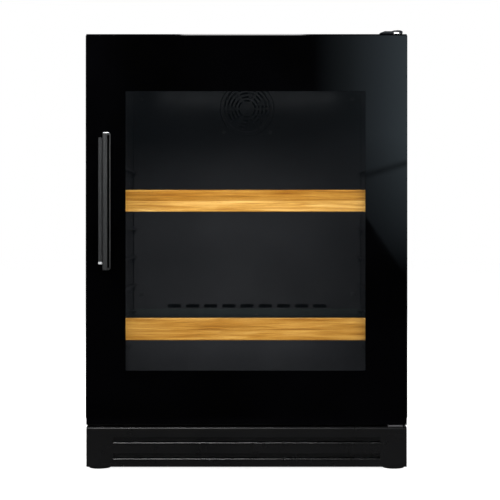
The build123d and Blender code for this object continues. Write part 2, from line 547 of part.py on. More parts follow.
# Caps close the profile ends. Each has a plug in both stiles, and the hinge-side plug holds a bush.
PLUG = 20.0
CAP_FIT = 0.1
CAP_BEVEL = 2.2
plug_depth = (CHAMBER_FRONT + CAP_FIT, CHAMBER_REAR - CAP_FIT)
BUSH_HEIGHT = 18.0
BUSHES = ((DOOR_BOTTOM, DOOR_BOTTOM + BUSH_HEIGHT), (DOOR_TOP - BUSH_HEIGHT, DOOR_TOP))
for plate, plug, bush, name in (
    ((DOOR_BOTTOM, GLASS_BOTTOM), (GLASS_BOTTOM, GLASS_BOTTOM + PLUG), BUSHES[0], "bottom"),
    ((GLASS_TOP, DOOR_TOP), (GLASS_TOP - PLUG, GLASS_TOP), BUSHES[1], "top"),
):
    with BuildPart() as cap:
        block((-DOOR_FRAME_HALF_WIDTH, DOOR_FRAME_HALF_WIDTH), (DOOR_FRONT + 0.5, DOOR_REAR), plate)
        front_edges = cap.faces().sort_by(Axis.Y)[0].edges().filter_by(Axis.X).sort_by(Axis.Z)
        chamfer(front_edges[0] if name == "bottom" else front_edges[-1], CAP_BEVEL)
        for side in (-1, 1):
            across = sorted((side * (CHAMBER_IN + CAP_FIT), side * (CHAMBER_OUT - CAP_FIT)))
            block(tuple(across), plug_depth, plug)
        rod((HINGE_X, HINGE_Y, bush[0]), (HINGE_X, HINGE_Y, bush[1]), BUSH_RADIUS, mode=Mode.SUBTRACT)
    finish(cap, f"door_cap_{name}")

with BuildPart() as hinge_bushes:
    for low, high in BUSHES:
        rod((HINGE_X, HINGE_Y, low), (HINGE_X, HINGE_Y, high), BUSH_RADIUS)
        bore = PIN_RADIUS + RUNNING_CLEARANCE
        rod((HINGE_X, HINGE_Y, low - 1), (HINGE_X, HINGE_Y, high + 1), bore, mode=Mode.SUBTRACT)
finish(hinge_bushes, "hinge_bushes")

with BuildPart() as door_glass_front:
    block((-HALF_WIDTH, HALF_WIDTH), (DOOR_FRONT, GLASS_REAR), (GLASS_BOTTOM, GLASS_TOP))
    upright_edges = door_glass_front.edges().filter_by(Axis.Y)
    fillet(upright_edges, 1.0)
    chamfer(door_glass_front.faces().sort_by(Axis.Y)[0].edges(), 0.6)
    for z in HANDLE_SCREWS:
        start = (HANDLE_SCREW_X, DOOR_FRONT - 1, z)
        rod(start, (HANDLE_SCREW_X, GLASS_REAR + 1, z), 2.6, mode=Mode.SUBTRACT)
finish(door_glass_front, "door_glass_front")

EDGE = PANE_HALF_WIDTH - 0.5
with BuildPart() as door_panes:
    for span in (MIDDLE_PANE, INNER_PANE):
        block((-EDGE, EDGE), span, (PANE_BOTTOM + 0.5, PANE_TOP - 0.5))
finish(door_panes, "door_panes")

SPACER_WIDTH = 9.0
SPACER_OUTER = (EDGE - 4, PANE_BOTTOM + 4, PANE_TOP - 4)
SPACER_INNER = (EDGE - 4 - SPACER_WIDTH, PANE_BOTTOM + 4 + SPACER_WIDTH, PANE_TOP - 4 - SPACER_WIDTH)
with BuildPart() as glass_spacers:
    for gap in ((GLASS_REAR, MIDDLE_PANE[0]), (MIDDLE_PANE[1], INNER_PANE[0])):
        sheet_ring(gap, SPACER_OUTER, SPACER_INNER)
finish(glass_spacers, "glass_spacers")

# Magnetic gasket: a dart that plugs against the door and a soft bulb that meets the cabinet.
GASKET_OUTER = (HINGE_X, 92.0, 801.0, 6.0)
GASKET_INNER = (HINGE_X - 20, 112.0, 781.0, 3.0)
with BuildPart() as door_gasket:
    sheet_ring((DOOR_REAR, DOOR_REAR + 3), (HINGE_X - 4, 96.0, 797.0, 4.0), (HINGE_X - 16, 108.0, 785.0, 3.0))
    sheet_ring((DOOR_REAR + 3, FRAME_FRONT - GASKET_GAP), GASKET_OUTER, GASKET_INNER)
    groove = (DOOR_REAR + 5.0, FRAME_FRONT - GASKET_GAP - 2.5)
    sheet_ring(groove, (HINGE_X + 1, 91.0, 802.0, 6.0), (HINGE_X - 2, 94.0, 799.0, 5.0), mode=Mode.SUBTRACT)
finish(door_gasket, "door_gasket")

# The base's flange runs under the web of the grip, so the screws hold both.
with BuildPart() as handle_base:
    height = (HANDLE_BASE_BOTTOM, HANDLE_BASE_TOP)
    block((HANDLE_BASE[0], WEB[1]), (FLANGE_FRONT, DOOR_FRONT), height)
    block(HANDLE_BASE, (HANDLE_FRONT + 6, FLANGE_FRONT), height)
    front_edges = handle_base.faces().sort_by(Axis.Y)[0].edges()
    chamfer(front_edges.sort_by(Axis.Z)[0], BASE_END_FACET)
    chamfer(handle_base.faces().sort_by(Axis.Y)[0].edges().filter_by(Axis.Z), 0.8)
    for z in HANDLE_SCREWS:
        start = (HANDLE_SCREW_X, DOOR_FRONT - HANDLE_SCREW_DEPTH - 1, z)
        rod(start, (HANDLE_SCREW_X, DOOR_FRONT + 1, z), SCREW_HOLE, mode=Mode.SUBTRACT)
finish(handle_base, "handle_base")

with BuildPart() as handle_grip:
    with BuildSketch(facing(HANDLE_FRONT + 5)) as plate:
        with Locations(((GRIP[0] + GRIP[1]) / 2, (GRIP_BOTTOM + GRIP_TOP) / 2)):
            Rectangle(GRIP[1] - GRIP[0], GRIP_TOP - GRIP_BOTTOM)
    extrude(plate.sketch, amount=5.0)
    fillet(handle_grip.edges().filter_by(Axis.Y).group_by(Axis.X)[-1], 5.0)
    chamfer(handle_grip.faces().sort_by(Axis.Y)[0].edges(), 1.6)
    # A finger groove runs down the front, beside the bright right edge.
    groove_run = (GRIP_BOTTOM + GROOVE_END, GRIP_TOP - GROOVE_END)
    block(GRIP_GROOVE, (HANDLE_FRONT - 1, HANDLE_FRONT + 2.5), groove_run, mode=Mode.SUBTRACT)
    block(WEB, (HANDLE_FRONT + 5, FLANGE_FRONT), (HANDLE_BASE_BOTTOM, HANDLE_BASE_TOP))
finish(handle_grip, "handle_grip")

with BuildPart() as handle_screws:
    for z in HANDLE_SCREWS:
        length = CHAMBER_FRONT - DOOR_FRONT + HANDLE_SCREW_DEPTH
        screw(HANDLE_SCREW_X, CHAMBER_FRONT, z, (0, -1, 0), length)
finish(handle_screws, "handle_screws")


# ---- Shelves ------------------------------------------------------------------------------
TRIM_REAR = TRIM_FRONT + TRIM_DEPTH
GLASS_BELOW_TRIM = 6.0
GROOVE_DEPTH = 6.0
for level, top in SHELF_TOPS.items():
    glass_top = top - GLASS_BELOW_TRIM
    glass_bottom = glass_top - SHELF_GLASS
    with BuildPart() as shelf_glass:
        full_width = (-SHELF_HALF_WIDTH, SHELF_HALF_WIDTH)
        block(full_width, (TRIM_REAR - GROOVE_DEPTH, SHELF_REAR), (glass_bottom, glass_top))
        fillet(shelf_glass.edges().filter_by(Axis.Z).group_by(Axis.Y)[-1], 4.0)
    finish(shelf_glass, f"shelf_glass_{level}")

    # The oak front is glued up from two strips, grooved for the glass and bonded to it.
    with BuildPart() as shelf_front:
        across = (-SHELF_HALF_WIDTH + 1, SHELF_HALF_WIDTH - 1)
        block(across, (TRIM_FRONT, TRIM_REAR), (top - TRIM_HEIGHT, top))
        front_edges = shelf_front.faces().sort_by(Axis.Y)[0].edges()
        fillet(front_edges, 1.5)
        joint = top - TRIM_HEIGHT / 2
        block(across, (TRIM_FRONT - 1, TRIM_FRONT + 0.4), (joint - 0.3, joint + 0.3), mode=Mode.SUBTRACT)
        glass_groove = (TRIM_REAR - GROOVE_DEPTH, TRIM_REAR + 1)
        wide = (-SHELF_HALF_WIDTH - 1, SHELF_HALF_WIDTH + 1)
        block(wide, glass_groove, (glass_bottom, glass_top), mode=Mode.SUBTRACT)
    finish(shelf_front, f"shelf_front_{level}")

# ---- Cold air duct ------------------------------------------------------------------------
COVER_HALF_WIDTH = CABIN_HALF_WIDTH - 1
COVER_BOTTOM, COVER_UPPER = STEP_TOP + 0.5, CABIN_CEILING - 1
GRILLE_RINGS = (52.0, 44.0, 36.0, 28.0, 20.0)
HOUSING_SCREWS = [(x, EVAPORATOR_FAN_Z + z) for x in (-51.0, 51.0) for z in (-51.0, 51.0)]

with BuildPart() as evaporator_cover:
    with BuildSketch(facing(COVER_REAR)) as face:
        frame_face(COVER_HALF_WIDTH, COVER_BOTTOM, COVER_UPPER)
        chamfer(face.vertices().group_by(Axis.Y)[-1], CABIN_CORNER)
        for index in range(9):
            with Locations((-160.0 + index * 40.0, COVER_BOTTOM + 18)):
                SlotOverall(30.0, 8.0, mode=Mode.SUBTRACT)
    extrude(face.sketch, amount=COVER_THICKNESS)
    # The fan grille is a raised disc with ring slots that radial ribs carry.
    rod((0, COVER_FRONT - 3, EVAPORATOR_FAN_Z), (0, COVER_FRONT, EVAPORATOR_FAN_Z), 60.0)
    chamfer(evaporator_cover.faces().sort_by(Axis.Y)[0].edges(), 1.5)
    with BuildSketch(facing(COVER_REAR + 1)) as slots:
        with Locations((0, EVAPORATOR_FAN_Z)):
            for ring in GRILLE_RINGS:
                Circle(ring)
                Circle(ring - 4.0, mode=Mode.SUBTRACT)
            for angle in (0, 60, 120):
                Rectangle(130.0, 4.0, rotation=angle, mode=Mode.SUBTRACT)
    extrude(slots.sketch, amount=COVER_THICKNESS + 6, mode=Mode.SUBTRACT)
    for x, z in COVER_SCREWS + HOUSING_SCREWS:
        rod((x, COVER_FRONT - 5, z), (x, COVER_REAR + 1, z), SCREW_HOLE, mode=Mode.SUBTRACT)
finish(evaporator_cover, "evaporator_cover")

FAN_DEPTH, FAN_TIP, FAN_BORE = 14.0, 45.0, 49.0
ROTOR_FRONT = COVER_REAR + 4.0
MOTOR_FRONT = ROTOR_FRONT + FAN_DEPTH
with BuildPart() as evaporator_fan_frame:
    centre = (0.0, COVER_REAR, EVAPORATOR_FAN_Z)
    fan_housing(centre, 56.0, FAN_BORE, 24.0, 17.0, MOTOR_FRONT, 20.0)
    for x, z in HOUSING_SCREWS:
        rod((x, COVER_REAR - 1, z), (x, COVER_REAR + 30, z), SCREW_HOLE, mode=Mode.SUBTRACT)
finish(evaporator_fan_frame, "evaporator_fan_frame")

with BuildPart() as evaporator_fan_rotor:
    fan_rotor((0.0, ROTOR_FRONT, EVAPORATOR_FAN_Z), 16.0, FAN_TIP, FAN_DEPTH, 7, 10.0)
finish(evaporator_fan_rotor, "evaporator_fan_rotor")

COIL = ((-170.0, 170.0), (192.0, 226.0), (330.0, 560.0))
COIL_TUBE = 4.5
COIL_ROWS = 6
COIL_MIDDLE = sum(COIL[1]) / 2
ROW = (COIL[2][1] - COIL[2][0]) / COIL_ROWS
with BuildPart() as evaporator_coil:
    finned_coil(*COIL, COIL_ROWS, COIL_TUBE, 12.0)
    # End plates hold the coil to the rear wall of the duct.
    for side in (-1, 1):
        plate = tuple(sorted((side * (COIL[0][1] + 3), side * (COIL[0][1] + 4.5))))
        block(plate, (COIL[1][0], CABIN_REAR), COIL[2])
finish(evaporator_coil, "evaporator_coil")

# The suction pipe leaves the open end of the bottom row, runs down and turns to the compressor.
COIL_END_X = COIL[0][0] - ROW / 2 - 2
SUCTION_LEVEL = 196.0
with BuildPart() as suction_pipe:
    row = COIL[2][0] + ROW / 2
    route = [
        (COIL_END_X, COIL_MIDDLE, row),
        (COIL_END_X - 18, COIL_MIDDLE, row),
        (COIL_END_X - 18, SUCTION_Y, 296.0),
        (SUCTION_X, SUCTION_Y, 296.0),
        (SUCTION_X, SUCTION_Y, SUCTION_LEVEL),
        (SUCTION_X + 66, SUCTION_Y, SUCTION_LEVEL),
        (SUCTION_X + 66, SUCTION_Y, 150.0),
        (COMPRESSOR_X - COMPRESSOR_RADIUS + 4, SUCTION_Y, 150.0),
    ]
    pipe(route, 6.0, PIPE_RADIUS)
finish(suction_pipe, "suction_pipe")

with BuildPart() as drain_tube:
    rod((DRAIN_X, DRAIN_Y, 70.0), (DRAIN_X, DRAIN_Y, STEP_TOP), DRAIN_RADIUS)
    rod((DRAIN_X, DRAIN_Y, STEP_TOP), (DRAIN_X, DRAIN_Y, STEP_TOP + 1.5), DRAIN_RADIUS + 5)
    rod((DRAIN_X, DRAIN_Y, 60.0), (DRAIN_X, DRAIN_Y, STEP_TOP + 3), DRAIN_RADIUS - 1.5, mode=Mode.SUBTRACT)
finish(drain_tube, "drain_tube")

# ---- Machine room -------------------------------------------------------------------------
with BuildPart() as evaporation_tray:
    block((5.0, 88.0), (172.0, 284.0), (BASE_TOP, 52.0))
    block((7.0, 86.0), (174.0, 282.0), (BASE_TOP + 2, 53.0), mode=Mode.SUBTRACT)
finish(evaporation_tray, "evaporation_tray")

CAN_BOTTOM, CAN_TOP = 40.0, 198.0
CAN_AXIS = ((COMPRESSOR_X, COMPRESSOR_Y, CAN_BOTTOM), (COMPRESSOR_X, COMPRESSOR_Y, CAN_TOP))
with BuildPart() as compressor:
    rod(*CAN_AXIS, COMPRESSOR_RADIUS)
    fillet(compressor.edges().filter_by(GeomType.CIRCLE).group_by(Axis.Z)[-1], 34.0)
    fillet(compressor.edges().filter_by(GeomType.CIRCLE).group_by(Axis.Z)[0], 16.0)
    seam = (118.0, 123.0)
    rod((COMPRESSOR_X, COMPRESSOR_Y, seam[0]), (COMPRESSOR_X, COMPRESSOR_Y, seam[1]), COMPRESSOR_RADIUS + 2.5)
    with BuildSketch(Plane.XY.offset(GROMMET_TOP)) as feet:
        with Locations((COMPRESSOR_X, COMPRESSOR_Y)):
            RectangleRounded(150.0, 150.0, 14.0)
            RectangleRounded(70.0, 70.0, 8.0, mode=Mode.SUBTRACT)
        with Locations(*COMPRESSOR_MOUNTS):
            Circle(4.2, mode=Mode.SUBTRACT)
    extrude(feet.sketch, amount=3.0)
    reach = 40.0
    for angle in (45, 135, 225, 315):
        x = COMPRESSOR_X + reach * math.cos(math.radians(angle))
        y = COMPRESSOR_Y + reach * math.sin(math.radians(angle))
        rod((x, y, GROMMET_TOP + 1), (x, y, CAN_BOTTOM + 6), 9.0)
    end = (COMPRESSOR_X - COMPRESSOR_RADIUS - 6, SUCTION_Y, 150.0)
    rod(end, (COMPRESSOR_X - 40, SUCTION_Y, 150.0), PIPE_RADIUS + 1.5)
    socket = (COMPRESSOR_X - COMPRESSOR_RADIUS + 4, SUCTION_Y, 150.0)
    rod((end[0] - 1, SUCTION_Y, 150.0), socket, PIPE_RADIUS, mode=Mode.SUBTRACT)
finish(compressor, "compressor")

with BuildPart() as compressor_grommets:
    for x, y in COMPRESSOR_MOUNTS:
        rod((x, y, BASE_TOP), (x, y, GROMMET_TOP), 10.0)
        rod((x, y, GROMMET_TOP), (x, y, GROMMET_TOP + 3), 4.2)
        rod((x, y, GROMMET_TOP + 3), (x, y, GROMMET_TOP + 6), 8.0)
        rod((x, y, BASE_TOP - 1), (x, y, GROMMET_TOP + 7), MOUNT_STUD_RADIUS + 0.05, mode=Mode.SUBTRACT)
finish(compressor_grommets, "compressor_grommets")

RELAY_X = (COMPRESSOR_X + COMPRESSOR_RADIUS + 3, COMPRESSOR_X + COMPRESSOR_RADIUS + 32)
with BuildPart() as relay_box:
    block(RELAY_X, (COMPRESSOR_Y - 26, COMPRESSOR_Y + 26), (126.0, 176.0))
    fillet(relay_box.edges().filter_by(Axis.Z), 4.0)
    block((COMPRESSOR_X + 50, RELAY_X[0] + 2), (COMPRESSOR_Y - 14, COMPRESSOR_Y + 14), (134.0, 168.0))
    rod(*CAN_AXIS, COMPRESSOR_RADIUS + 0.3, mode=Mode.SUBTRACT)
finish(relay_box, "relay_box")

CONDENSER = (
    (CONDENSER_X - CONDENSER_SIDE / 2, CONDENSER_X + CONDENSER_SIDE / 2),
    (102.0, 138.0),
    (CONDENSER_Z - CONDENSER_SIDE / 2, CONDENSER_Z + CONDENSER_SIDE / 2),
)
CONDENSER_ROWS = 6
CONDENSER_ROW = CONDENSER_SIDE / CONDENSER_ROWS
CONDENSER_TUBE_Y = sum(CONDENSER[1]) / 2
with BuildPart() as condenser_coil:
    finned_coil(*CONDENSER, CONDENSER_ROWS, PIPE_RADIUS, 8.0)
    for side in CONDENSER[0]:
        outward = math.copysign(1.0, side - CONDENSER_X)
        plate = tuple(sorted((side + outward * 3, side + outward * 4.5)))
        block(plate, CONDENSER[1], (BASE_TOP, CONDENSER[2][1]))
finish(condenser_coil, "condenser_coil")

SHROUD_FRONT = CONDENSER[1][1] + 1.0
SHROUD_DEPTH = 36.0
SHROUD_HALF = 85.0
FAN_RADIUS_BIG = 66.0
BIG_ROTOR_FRONT = SHROUD_FRONT + 9.0
with BuildPart() as condenser_fan_frame:
    centre = (CONDENSER_X, SHROUD_FRONT, CONDENSER_Z)
    motor_front = BIG_ROTOR_FRONT + 20.0
    fan_housing(centre, SHROUD_HALF, FAN_RADIUS_BIG + 5, SHROUD_DEPTH, 24.0, motor_front, 30.0)
    foot_run = (CONDENSER_X - SHROUD_HALF, CONDENSER_X + SHROUD_HALF)
    block(foot_run, (SHROUD_FRONT, SHROUD_FRONT + 30), (BASE_TOP, CONDENSER_Z - SHROUD_HALF))
finish(condenser_fan_frame, "condenser_fan_frame")

with BuildPart() as condenser_fan_rotor:
    fan_rotor((CONDENSER_X, BIG_ROTOR_FRONT, CONDENSER_Z), 22.0, FAN_RADIUS_BIG, 20.0, 5, 10.0)
finish(condenser_fan_rotor, "condenser_fan_rotor")

# Discharge pipe: compressor to the top row of the condenser.
condenser_end = CONDENSER[0][0] - CONDENSER_ROW / 2 - 2
top_row = CONDENSER[2][1] - CONDENSER_ROW / 2
bottom_row = CONDENSER[2][0] + CONDENSER_ROW / 2
with BuildPart() as discharge_pipe:
    route = [
        (COMPRESSOR_X - 50, COMPRESSOR_Y - 52, 80.0),
        (COMPRESSOR_X - 78, COMPRESSOR_Y - 52, 80.0),
        (COMPRESSOR_X - 78, COMPRESSOR_Y - 84, 80.0),
        (COMPRESSOR_X - 78, COMPRESSOR_Y - 84, 205.0),
        (condenser_end - 18, COMPRESSOR_Y - 84, 205.0),
        (condenser_end - 18, CONDENSER_TUBE_Y, top_row),
        (condenser_end, CONDENSER_TUBE_Y, top_row),
    ]
    pipe(route, 6.0, PIPE_RADIUS)
    rod(*CAN_AXIS, COMPRESSOR_RADIUS, mode=Mode.SUBTRACT)
finish(discharge_pipe, "discharge_pipe")

# The filter drier stands beside the condenser. Its inlet comes from the condenser's bottom row and
# its capillary tube shares the suction pipe's passage to the top row of the evaporator.
DRIER_X, DRIER_Y = condenser_end - 30.0, 160.0
CAPILLARY_RADIUS = 1.2
CAPILLARY_Y = SUCTION_Y - 8.0
CAPILLARY_LEVEL = MACHINE_ROOM_TOP - 11.0
with BuildPart() as filter_drier:
    rod((DRIER_X, DRIER_Y, 90.0), (DRIER_X, DRIER_Y, 170.0), 9.5)
    ends = filter_drier.faces().filter_by(GeomType.PLANE)
    chamfer([edge for face in ends for edge in face.edges()], 5.0)
    inlet = [
        (DRIER_X, DRIER_Y, 91.0),
        (DRIER_X, DRIER_Y, bottom_row),
        (DRIER_X, CONDENSER_TUBE_Y, bottom_row),
        (condenser_end, CONDENSER_TUBE_Y, bottom_row),
    ]
    pipe(inlet, 6.0, 3.0)
    feed_x = COIL_END_X - 9.0
    feed_row = COIL[2][1] - ROW / 2
    capillary = [
        (DRIER_X, DRIER_Y, 169.0),
        (DRIER_X, DRIER_Y, CAPILLARY_LEVEL),
        (DRIER_X, CAPILLARY_Y, CAPILLARY_LEVEL),
        (SUCTION_X, CAPILLARY_Y, CAPILLARY_LEVEL),
        (SUCTION_X, CAPILLARY_Y, COIL[2][0] - 22),
        (feed_x, CAPILLARY_Y, COIL[2][0] - 22),
        (feed_x, CAPILLARY_Y, feed_row),
        (feed_x, COIL_MIDDLE, feed_row),
        (COIL_END_X, COIL_MIDDLE, feed_row),
    ]
    pipe(capillary, 4.0, CAPILLARY_RADIUS)
finish(filter_drier, "filter_drier")

with BuildPart() as rear_grille:
    with BuildSketch(facing(BODY_REAR)) as face:
        frame_face(PANEL_HALF_WIDTH, BASE_TOP, MACHINE_ROOM_TOP)
        for column in GRILLE_COLUMNS:
            for row in range(GRILLE_ROWS):
                with Locations((column, 44.0 + row * 19.0)):
                    SlotOverall(190.0, 7.0, mode=Mode.SUBTRACT)
        with Locations((INLET_X, INLET_Z)):
            Circle(8.0, mode=Mode.SUBTRACT)
        with Locations(*REAR_COVER_SCREWS):
            Circle(SCREW_HOLE, mode=Mode.SUBTRACT)
    extrude(face.sketch, amount=SHEET)
finish(rear_grille, "rear_grille")

# Every pan-head screw of the cabinet: kick plate, both hinges, evaporator cover, fan and rear grille.
with BuildPart() as cabinet_screws:
    for x in KICK_SCREWS:
        screw(x, KICK_SCREW_Y, BASE_BOTTOM, (0, 0, 1), 8.0)
    for x, y in HINGE_SCREWS_TOP:
        screw(x, y, PLATE_TOP - HEAD_RECESS, (0, 0, -1), 12.0, head_height=HEAD_RECESS - 0.1)
    for x, z in BRACKET_SCREWS:
        screw(x, BODY_FRONT - HINGE_PLATE, z, (0, 1, 0), 10.0)
    for x, z in COVER_SCREWS:
        screw(x, COVER_FRONT, z, (0, 1, 0), 22.0)
    for x, z in HOUSING_SCREWS:
        screw(x, COVER_FRONT, z, (0, 1, 0), 24.0)
    for x, z in REAR_COVER_SCREWS:
        screw(x, BODY_REAR, z, (0, -1, 0), 8.0)
finish(cabinet_screws, "cabinet_screws")

# Gland that the mains cord comes out of.
with BuildPart() as cord_gland:
    rod((INLET_X, BODY_REAR, INLET_Z), (INLET_X, BODY_REAR + 3, INLET_Z), 11.0)
    rod((INLET_X, BODY_REAR + 3, INLET_Z), (INLET_X, BODY_REAR + 10, INLET_Z), 7.5)
    rod((INLET_X, BODY_REAR - 12, INLET_Z), (INLET_X, BODY_REAR, INLET_Z), 7.8)
    rod((INLET_X, BODY_REAR - 6, INLET_Z), (INLET_X, BODY_REAR - 3, INLET_Z), 11.0)
    rod((INLET_X, BODY_REAR - 13, INLET_Z), (INLET_X, BODY_REAR + 11, INLET_Z), 4.0, mode=Mode.SUBTRACT)
finish(cord_gland, "cord_gland")

# ---- Control panel and lamp under the cabin ceiling ---------------------------------------
PANEL = ((-95.0, 95.0), (-203.0, -150.0), (CABIN_CEILING - 26.0, CABIN_CEILING))
FASCIA = 2.0
PANEL_Y, PANEL_BOTTOM = PANEL[1], PANEL[2][0]
BUTTONS = {"power": -78.0, "lamp": -52.0, "down": 52.0, "up": 78.0}
BUTTON_RADIUS, BUTTON_HOLE = 6.0, 6.06
BUTTON_TRAVEL = 1.5
CAP_HEIGHT = 6.0
DISPLAY_HALF = (26.0, 12.0)
middle_y = sum(PANEL_Y) / 2
BOARD = (PANEL_BOTTOM + 14.0, PANEL_BOTTOM + 15.6)
with BuildPart() as control_housing:
    block(*PANEL)
    fillet(control_housing.edges().filter_by(Axis.Z), 3.0)
    inside = [(PANEL[0][0] + 2, PANEL[0][1] - 2), (PANEL_Y[0] + 2, PANEL_Y[1] - 2)]
    block(*inside, (PANEL_BOTTOM + FASCIA, CABIN_CEILING + 1), mode=Mode.SUBTRACT)
    for x in BUTTONS.values():
        rod((x, middle_y, PANEL_BOTTOM - 1), (x, middle_y, PANEL_BOTTOM + 5), BUTTON_HOLE, mode=Mode.SUBTRACT)
    window = [(-DISPLAY_HALF[0], DISPLAY_HALF[0]), (middle_y - DISPLAY_HALF[1], middle_y + DISPLAY_HALF[1])]
    block(*window, (PANEL_BOTTOM - 1, PANEL_BOTTOM + 5), mode=Mode.SUBTRACT)
    for x in (-36.0, 36.0):
        rod((x, middle_y, PANEL_BOTTOM + FASCIA), (x, middle_y, BOARD[0]), 3.0)
finish(control_housing, "control_housing")

with BuildPart() as control_board:
    block((-90.0, 90.0), (PANEL_Y[0] + 4, PANEL_Y[1] - 4), BOARD)
    # The display module fills the window of the housing.
    clear = 0.2
    across = (window[0][0] + clear, window[0][1] - clear)
    deep = (window[1][0] + clear, window[1][1] - clear)
    block(across, deep, (PANEL_BOTTOM + 0.3, BOARD[0]))
    for x in BUTTONS.values():
        block((x - 3, x + 3), (middle_y - 3, middle_y + 3), (BOARD[0] - 3, BOARD[0]))
finish(control_board, "control_board")

for use, x in BUTTONS.items():
    with BuildPart() as button:
        top = BOARD[0] - 3 - BUTTON_TRAVEL - 0.3
        rod((x, middle_y, PANEL_BOTTOM - 2.0), (x, middle_y, top), BUTTON_RADIUS)
        rim = (PANEL_BOTTOM + FASCIA + 0.1, PANEL_BOTTOM + FASCIA + 1.6)
        rod((x, middle_y, rim[0]), (x, middle_y, rim[1]), BUTTON_RADIUS + 1.5)
        fillet(button.edges().filter_by(GeomType.CIRCLE).sort_by(Axis.Z)[0], 0.8)
    finish(button, f"button_{use}")

LAMP = ((-225.0, 225.0), (-146.0, -126.0), (CABIN_CEILING - 9.0, CABIN_CEILING))
with BuildPart() as lamp_bar:
    block(*LAMP)
    fillet(lamp_bar.edges().filter_by(Axis.X).group_by(Axis.Z)[0], 3.0)
finish(lamp_bar, "lamp_bar")
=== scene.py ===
import json
import math

import bmesh
import bpy
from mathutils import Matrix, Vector


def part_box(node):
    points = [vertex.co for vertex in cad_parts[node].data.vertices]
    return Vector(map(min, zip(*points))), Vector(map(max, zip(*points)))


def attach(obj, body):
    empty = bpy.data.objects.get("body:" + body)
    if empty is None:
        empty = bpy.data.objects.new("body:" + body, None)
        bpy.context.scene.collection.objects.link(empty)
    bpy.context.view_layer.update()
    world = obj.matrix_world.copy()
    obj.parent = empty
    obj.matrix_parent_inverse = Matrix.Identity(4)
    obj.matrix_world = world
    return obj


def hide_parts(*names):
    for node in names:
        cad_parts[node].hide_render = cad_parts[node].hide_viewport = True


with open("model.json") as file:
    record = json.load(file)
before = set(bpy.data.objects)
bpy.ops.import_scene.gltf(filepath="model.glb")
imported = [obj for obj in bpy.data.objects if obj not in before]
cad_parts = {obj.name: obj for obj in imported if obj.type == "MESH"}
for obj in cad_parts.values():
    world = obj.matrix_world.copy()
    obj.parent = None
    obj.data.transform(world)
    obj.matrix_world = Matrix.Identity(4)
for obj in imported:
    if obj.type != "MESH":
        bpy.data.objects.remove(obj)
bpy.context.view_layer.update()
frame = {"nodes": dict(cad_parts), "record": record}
nodes = frame["nodes"]

# ---- Places taken from the frame ----------------------------------------------------------
GLASS_LOW, GLASS_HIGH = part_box("door_glass_front")
DOOR_FACE = GLASS_LOW.y
GLASS_REAR = GLASS_HIGH.y
LAMP_LOW, LAMP_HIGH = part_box("lamp_bar")

# The clear window in the black border of the front glass, a little nearer to the handle side.
WINDOW_LEFT, WINDOW_RIGHT = -0.2240, 0.2200
WINDOW_LOW, WINDOW_HIGH = 0.1825, 0.7000

# The handle's brushed front reaches this far back, and faces deeper than it are painted near black as
# painted shade. Its angled lower end reaches this far up and is painted pale as a painted highlight.
HANDLE_FACE_DEPTH = 0.0018
HANDLE_END_FACET = 0.0042


# ---- Material building blocks -------------------------------------------------------------
# A colour Mix node's sockets, which share their names with those for numbers and vectors.
MIX_FIRST, MIX_SECOND, MIX_RESULT = 6, 7, 2

# Clearance past a face, so that a test by place takes in the face itself.
FACE_MARGIN = 0.001


def new_material(name):
    material = bpy.data.materials.new(name)
    material.use_nodes = True
    tree = material.node_tree
    return material, tree, tree.nodes["Principled BSDF"]


def add(tree, kind, **settings):
    """A node with its own settings and, by socket name, its input values."""
    node = tree.nodes.new(kind)
    for key, value in settings.items():
        if key in node.inputs:
            node.inputs[key].default_value = value
        else:
            setattr(node, key, value)
    return node


def object_coordinates(tree, stretch=(1, 1, 1)):
    """Metres in the shared frame, because every CAD node's object stands at the origin."""
    where = add(tree, "ShaderNodeTexCoord")
    mapping = add(tree, "ShaderNodeMapping")
    mapping.inputs["Scale"].default_value = stretch
    tree.links.new(where.outputs["Object"], mapping.inputs["Vector"])
    return mapping.outputs["Vector"]


def noise(tree, vector, scale, detail=3.0, roughness=0.55, distortion=0.0):
    settings = {"Scale": scale, "Detail": detail, "Roughness": roughness, "Distortion": distortion}
    node = add(tree, "ShaderNodeTexNoise", **settings)
    tree.links.new(vector, node.inputs["Vector"])
    return node.outputs["Fac"]


def ramp(tree, value, stops):
    """A colour ramp over value. stops are (position, (r, g, b))."""
    node = tree.nodes.new("ShaderNodeValToRGB")
    elements = node.color_ramp.elements
    while len(elements) < len(stops):
        elements.new(0.5)
    for element, (position, colour) in zip(elements, stops):
        element.position = position
        element.color = (*colour, 1.0)
    tree.links.new(value, node.inputs["Fac"])
    return node.outputs["Color"]


def spread(tree, value, low, high, start=0.3, end=0.7):
    """value from start to end becomes low to high."""
    node = add(tree, "ShaderNodeMapRange")
    for key, number in (("From Min", start), ("From Max", end), ("To Min", low), ("To Max", high)):
        node.inputs[key].default_value = number
    tree.links.new(value, node.inputs["Value"])
    return node.outputs["Result"]


def bump(tree, shader, height, strength, distance):
    node = add(tree, "ShaderNodeBump", Strength=strength, Distance=distance)
    tree.links.new(height, node.inputs["Height"])
    tree.links.new(node.outputs["Normal"], shader.inputs["Normal"])


def mix(tree, first, second, factor, blend="MIX"):
    """first where factor is 0, and its blend with second where factor is 1. Each is a socket or a value."""
    node = add(tree, "ShaderNodeMix", data_type="RGBA", blend_type=blend)
    for value, socket in ((first, node.inputs[MIX_FIRST]), (second, node.inputs[MIX_SECOND])):
        if isinstance(value, tuple):
            socket.default_value = (*value, 1.0)
        else:
            tree.links.new(value, socket)
    if isinstance(factor, float):
        node.inputs["Factor"].default_value = factor
    else:
        tree.links.new(factor, node.inputs["Factor"])
    return node.outputs[MIX_RESULT]


def multiply(tree, first, second, factor=1.0):
    """first times second, as far as factor goes."""
    return mix(tree, first, second, factor, "MULTIPLY")


